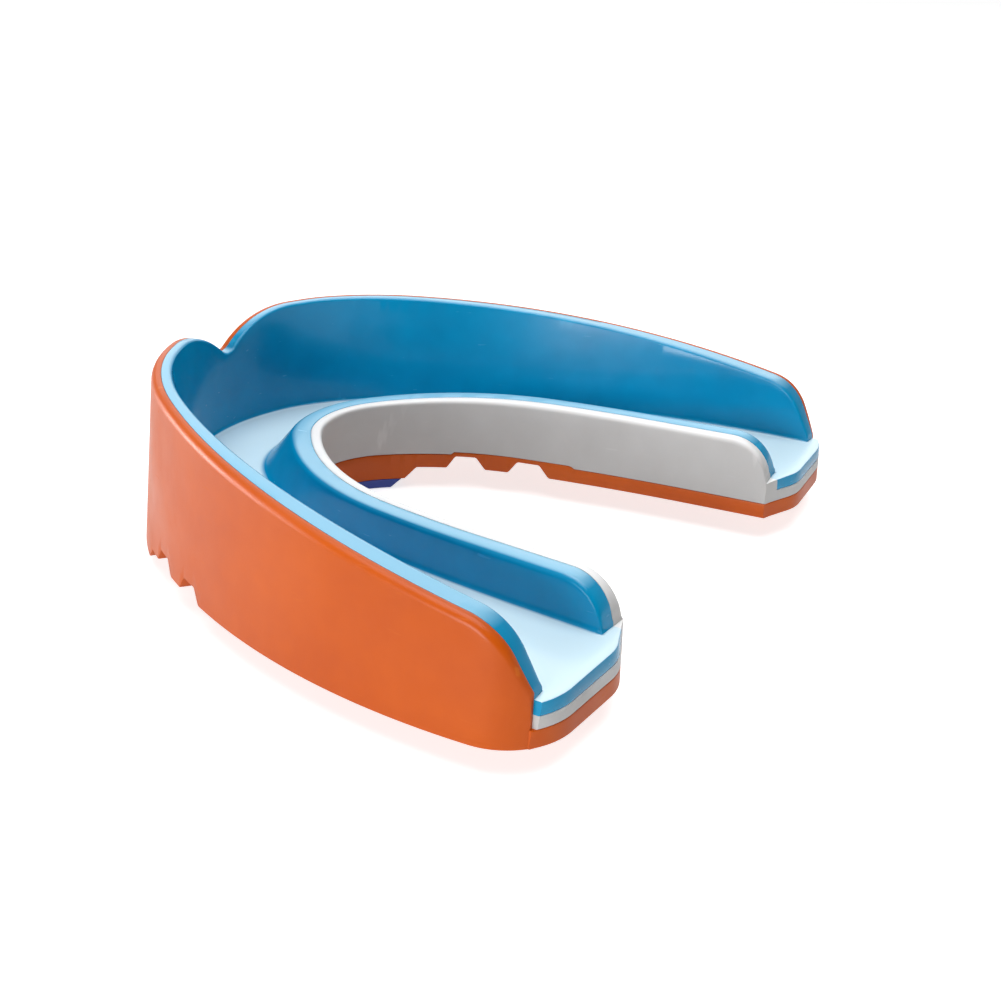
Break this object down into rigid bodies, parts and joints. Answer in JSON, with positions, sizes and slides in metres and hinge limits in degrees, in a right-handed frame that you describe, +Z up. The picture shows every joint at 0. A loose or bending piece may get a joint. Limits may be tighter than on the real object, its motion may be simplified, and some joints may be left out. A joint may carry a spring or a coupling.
{
  "type": "mouthguard",
  "caption": "Horseshoe mouthguard moulded from layers: a high outer wall with a lip notch, a tooth trough, a low tongue-side wall and a stepped front pad underneath.",
  "frame": {"origin": "bottom centre of the bounding box, level with the underside of the front pad", "axes": "+Z up towards the upper teeth, -Y towards the lips, +Y towards the open back, +X across the mouth to the wearer's left"},
  "size_m": [0.0622, 0.0558, 0.0169],
  "materials": {
    "shell_plastic": "satin orange elastomer",
    "frame_plastic": "satin white elastomer",
    "liner_plastic": "glossy blue boil-and-bite plastic",
    "pad_plastic": "satin royal blue elastomer"
  },
  "bodies": {
    "root": {"outer_shell": "shell_plastic", "inner_frame": "frame_plastic", "fit_liner": "liner_plastic", "front_pad": "pad_plastic"}
  },
  "joints": []
}
